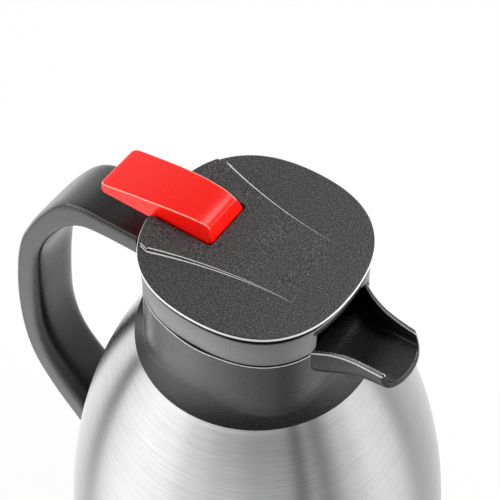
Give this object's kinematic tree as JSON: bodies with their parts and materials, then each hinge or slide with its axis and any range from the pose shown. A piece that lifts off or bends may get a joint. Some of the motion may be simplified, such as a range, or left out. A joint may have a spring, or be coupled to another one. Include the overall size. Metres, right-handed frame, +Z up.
{
  "type": "thermal carafe",
  "caption": "Double-walled steel thermal carafe with a side handle, an open pouring spout, a turn-in stopper lid and a thumb lever that lifts the pouring valve.",
  "frame": {"origin": "centre of the base on the plane of the table", "axes": "+Z up along the body's axis, +X to the spout, -X to the handle"},
  "size_m": [0.1974, 0.162, 0.2335],
  "materials": {
    "steel_brushed": "fine lines round the body",
    "steel_inner": "satin",
    "steel_hardware": "plain",
    "plate_grain": "fine spark grain",
    "band_satin": "satin",
    "collar_satin": "satin",
    "handle_satin": "soft satin",
    "inner_plastic": "plain",
    "white_plastic": "plain",
    "lever_red": "satin gloss, fine grain",
    "silicone": "soft matt",
    "black_rubber": "matt",
    "getter_metal": "dull"
  },
  "bodies": {
    "carafe": {"outer_shell": "steel_brushed", "inner_flask": "steel_inner", "outer_base": "steel_inner", "getter_disc": "getter_metal", "vacuum_plug": "steel_hardware", "base_cover": "inner_plastic", "foot_pad": "black_rubber", "collar": "collar_satin", "neck_insert": "inner_plastic", "neck_gasket": "silicone", "insert_gasket": "silicone", "handle_grip": "handle_satin", "handle_bracket": "steel_hardware", "upper_handle_screw": "steel_hardware", "lower_handle_screw": "steel_hardware", "screw_cap": "handle_satin"},
    "seal": {"stopper_seal": "silicone"},
    "lid": {"lid_plate": "plate_grain", "lid_housing": "band_satin", "stopper": "inner_plastic", "guide_bush": "white_plastic", "lever_pin": "steel_hardware", "lid_screws": "steel_hardware", "valve_spring": "steel_hardware"},
    "lever": {"lever": "lever_red", "rocker_arm": "inner_plastic"},
    "valve": {"valve_rod": "steel_hardware", "valve_disc": "inner_plastic", "valve_seal": "silicone", "lift_clip": "steel_hardware"}
  },
  "joints": [
    {"name": "lid_rise", "type": "slide", "parent": "carafe", "child": "seal", "axis": [0, 0, 1], "range_m": [0, 0.006]},
    {"name": "lid_turn", "type": "hinge", "parent": "seal", "child": "lid", "pos_m": [0, 0, 0.2], "axis": [0, 0, 1], "range_deg": [0, 180]},
    {"name": "lever_press", "type": "hinge", "parent": "lid", "child": "lever", "pos_m": [-0.024, 0, 0.2204], "axis": [0, -1, 0], "range_deg": [0, 9], "stiffness_Nm_per_rad": 0.47, "springref_deg": -14.32},
    {"name": "valve_lift", "type": "slide", "parent": "lid", "child": "valve", "axis": [0, 0, 1], "range_m": [0, 0.0039], "deforming": ["valve_spring"]}
  ],
  "couplings": [
    {"joint": "lid_rise", "follows": "lid_turn", "m_per_rad": 0.0019098},
    {"joint": "valve_lift", "follows": "lever_press", "m_per_rad": 0.0242}
  ]
}
